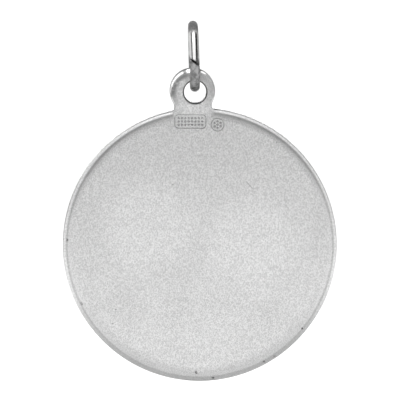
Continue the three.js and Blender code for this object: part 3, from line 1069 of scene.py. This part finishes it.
# %% Surround and lights
SURROUND_STRENGTH = 1.2
LIGHTS = (
    # name, place, size, brightness and the place that it faces, in metres
    ("overhead", (-0.05, -0.18, 0.40), (0.16, 0.3), 2.0, (0, 0, disc_z * MM)),
    ("behind", (0, 0.160, -0.0055), (0.110, 0.029), 3.6, (0, 0, -0.0055)),
)

world = bpy.data.worlds.new("surround")
world.use_nodes = True
world.node_tree.nodes["Background"].inputs["Color"].default_value = linear("#FFFFFF")
world.node_tree.nodes["Background"].inputs["Strength"].default_value = SURROUND_STRENGTH
bpy.context.scene.world = world
bpy.context.scene.view_settings.view_transform = "Standard"


def facing(at, target):
    return (Vector(target) - Vector(at)).to_track_quat("-Z", "Y")


def soft_light(name, at, size, brightness, target):
    data = bpy.data.lights.new(name, "AREA")
    data.shape = "RECTANGLE"
    data.size, data.size_y = size
    data.energy = brightness * math.pi * size[0] * size[1]
    light = bpy.data.objects.new(name, data)
    light.location = at
    light.rotation_euler = facing(at, target).to_euler()
    light.visible_camera = False
    bpy.context.scene.collection.objects.link(light)
    return light


for row in LIGHTS:
    print("light", soft_light(*row).name)

# %% Cards
CARDS = (
    # name, place, size and the place that it faces, in metres, and colour
    ("front_card", (0, -0.200, -0.010), (0.360, 0.200), (0, 0, -0.010), "#D4D4D4"),
    ("front_strip", (0, -0.080, 0.008), (0.130, 0.036), (0, 0, 0.008), "#484848"),
    ("left_card", (-0.123, 0.086, 0.010), (0.170, 0.220), (0, 0, 0.010), "#8A8A8A"),
    ("right_card", (0.123, 0.086, 0.010), (0.170, 0.220), (0, 0, 0.010), "#8A8A8A"),
    ("rear_card", (0, 0.150, -0.055), (0.170, 0.100), (0, 0, -0.055), "#8A8A8A"),
    ("ring_back_card", (0, 0.030, 0.0105), (0.030, 0.029), (0, 0, 0.0105), "#7A7A7A"),
    ("back_card", (0, 0.070, 0.130), (0.300, 0.150), (0, 0, 0), "#A0A0A0"),
)


def card(name, at, size, target, hex_colour):
    bm = bmesh.new()
    bmesh.ops.create_grid(bm, x_segments=1, y_segments=1, size=0.5)
    bmesh.ops.scale(bm, vec=(size[0], size[1], 1), verts=bm.verts)
    place = Matrix.Translation(at) @ facing(at, target).to_matrix().to_4x4()
    bmesh.ops.transform(bm, matrix=place, verts=bm.verts)
    return staged_card(bm, name, hex_colour)


def staged_card(bm, name, hex_colour):
    sheet = object_from(bm, name)
    sheet.data.materials.append(matt_paper(name + "_paper", hex_colour))
    sheet.visible_camera = False
    sheet.visible_diffuse = False
    sheet.visible_shadow = False
    return sheet


for row in CARDS:
    print("card", card(*row).name)

# %% [markdown]
# ## Cards for the ring
# A round wire shows the whole room squeezed into its width, so where a reflection falls on it is a matter of
# angles. These cards are laid out the other way round: the table says which stretch of the wire is to show
# the card, as turns across the wire and round the ring, and the mirror rule says where each of its points
# sends the camera's look. The card stands there, bent to fit. The dark and white ones are close to the wire,
# so that the disc hardly sees them, and the two at the sides are further out than the medal swings.

# %% Cards for the ring
WIRE_CARDS = (
    # name, distance in mm, from and to across the wire, from and to round the ring, in degrees, and colour
    ("wire_left_line", 2.5, -38, -23, -8, 46, "#303030"),
    ("wire_left_limb", 36, -75, -38, -8, 56, "#D4D4D4"),
    ("wire_middle", 8, -21, 12, -3, 16, "#FFFFFF"),
    ("wire_right_line", 2.5, 14, 41, -8, 46, "#242424"),
    ("wire_right_limb", 36, 42, 80, -8, 56, "#A4A4A4"),
    ("wire_top", 9, -70, 70, 53, 74, "#6C6C6C"),
)
WIRE_CARD_STEPS = 12


def mirrored(across, around):
    """A point on the wire, and the way in which it sends the camera's look."""
    outward = Vector((0, -math.cos(around), math.sin(around)))
    normal = outward * math.cos(across) + Vector((math.sin(across), 0, 0))
    surface = Vector((0, 0, ring_z)) + outward * ring_mid_r + normal * WIRE_D / 2
    return surface * MM, normal * 2 * toward_camera.dot(normal) - toward_camera


def wire_card(name, distance_mm, left, right, low, high, hex_colour):
    bm = bmesh.new()
    bmesh.ops.create_grid(bm, x_segments=WIRE_CARD_STEPS, y_segments=WIRE_CARD_STEPS, size=0.5)
    for vert in bm.verts:
        across = math.radians(left + (right - left) * (vert.co.x + 0.5))
        around = math.radians(low + (high - low) * (vert.co.y + 0.5))
        start, away = mirrored(across, around)
        vert.co = start + away * distance_mm * MM
    return staged_card(bm, name, hex_colour)


for row in WIRE_CARDS:
    print("card", wire_card(*row).name)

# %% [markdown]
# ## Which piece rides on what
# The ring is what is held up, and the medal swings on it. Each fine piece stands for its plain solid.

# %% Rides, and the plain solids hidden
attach(medal, "medal")
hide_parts("medal_disc")
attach(ring, "ring")
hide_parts("jump_ring")
